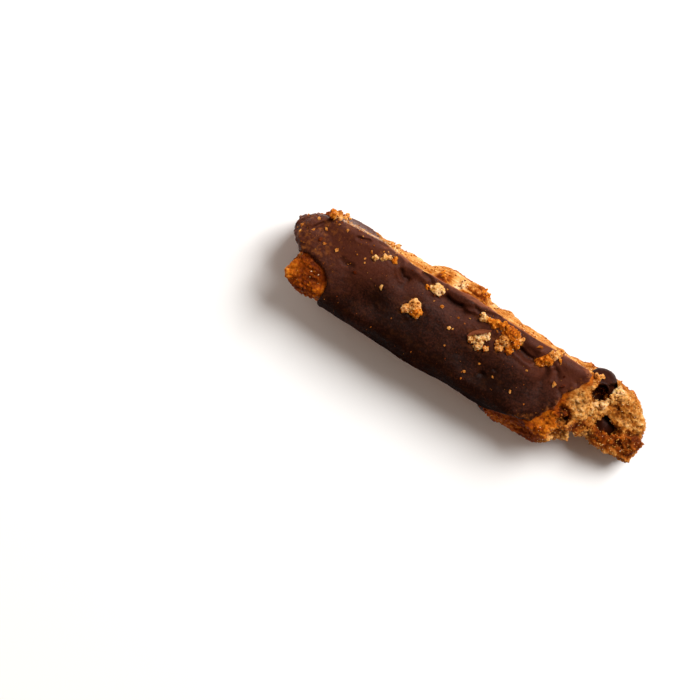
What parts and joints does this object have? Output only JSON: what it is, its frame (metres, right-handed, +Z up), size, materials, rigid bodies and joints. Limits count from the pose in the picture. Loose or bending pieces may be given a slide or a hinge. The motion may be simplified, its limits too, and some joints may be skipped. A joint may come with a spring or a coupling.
{
  "type": "chocolate topped chocolate chip cookie bar",
  "caption": "Crumbly baked cookie stick with dark chocolate over its top and side, snapped ends and chocolate chips.",
  "frame": {"origin": "middle of the footprint, on the surface that the bar lies on", "axes": "+X along the bar towards the stepped break, +Y to the bare cut side, +Z up through the chocolate"},
  "size_m": [0.102, 0.027, 0.0198],
  "materials": {
    "cookie": "baked, rough and crumbly",
    "chocolate": "set chocolate, satin with a faint bloom",
    "chip": "smooth chocolate, glossy"
  },
  "bodies": {
    "root": {"cookie": "cookie", "chocolate_coat": "chocolate", "chip_1": "chip", "chip_2": "chip", "chip_3": "chip", "chip_4": "chip"}
  },
  "joints": []
}
